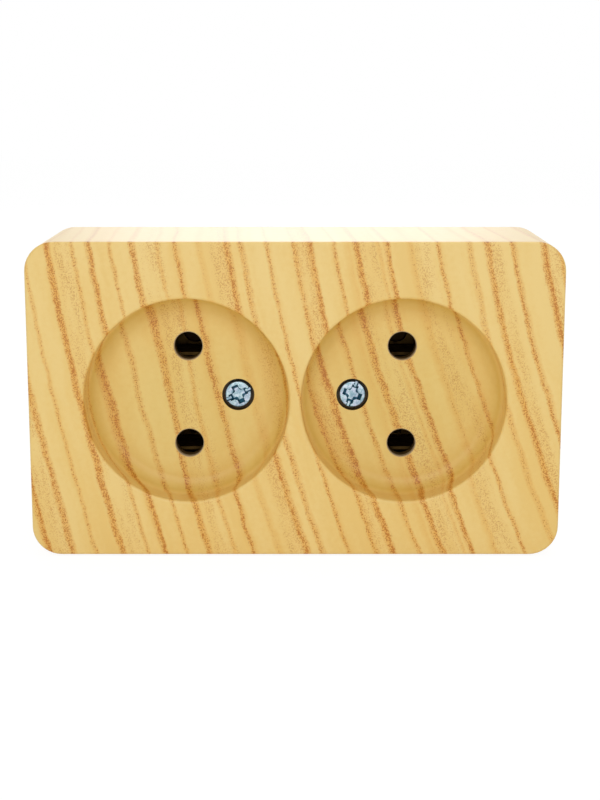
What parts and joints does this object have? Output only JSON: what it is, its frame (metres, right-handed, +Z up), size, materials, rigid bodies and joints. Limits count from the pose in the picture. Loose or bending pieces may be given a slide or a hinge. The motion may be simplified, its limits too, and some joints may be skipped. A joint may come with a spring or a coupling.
{
  "type": "double wall socket",
  "caption": "Surface-mounted double wall socket without earth: wood-look moulded cover with two round plug wells, dark base, brass contacts and terminals inside.",
  "frame": {"origin": "middle of the wall face, halfway between the two wells", "axes": "+X right along the wall, +Y into the wall, +Z up"},
  "size_m": [0.1014, 0.031, 0.0606],
  "materials": {
    "wood_print_plastic": "satin, with a printed wood grain",
    "dark_moulding": "dark brown moulded",
    "brass": "rolled strip",
    "rivet_brass": "plain",
    "spring_steel": "blued strip",
    "zinc_steel": "bright zinc, bluish"
  },
  "bodies": {
    "root": {"base": "dark_moulding", "bus_bar_lower": "brass", "bus_bar_upper": "brass", "clamp_plate_left_lower": "zinc_steel", "clamp_plate_left_upper": "zinc_steel", "clamp_plate_right_lower": "zinc_steel", "clamp_plate_right_upper": "zinc_steel", "cover": "wood_print_plastic", "cover_nut_left": "zinc_steel", "cover_nut_right": "zinc_steel", "cover_screw_left": "zinc_steel", "cover_screw_right": "zinc_steel", "jaw_left_lower": "brass", "jaw_left_upper": "brass", "jaw_right_lower": "brass", "jaw_right_upper": "brass", "jaw_spring_left_lower": "spring_steel", "jaw_spring_left_upper": "spring_steel", "jaw_spring_right_lower": "spring_steel", "jaw_spring_right_upper": "spring_steel", "rivet_left_lower": "rivet_brass", "rivet_left_upper": "rivet_brass", "rivet_right_lower": "rivet_brass", "rivet_right_upper": "rivet_brass", "terminal_nut_left_lower": "zinc_steel", "terminal_nut_left_upper": "zinc_steel", "terminal_nut_right_lower": "zinc_steel", "terminal_nut_right_upper": "zinc_steel", "terminal_screw_left_lower": "zinc_steel", "terminal_screw_left_upper": "zinc_steel", "terminal_screw_right_lower": "zinc_steel", "terminal_screw_right_upper": "zinc_steel"}
  },
  "joints": []
}
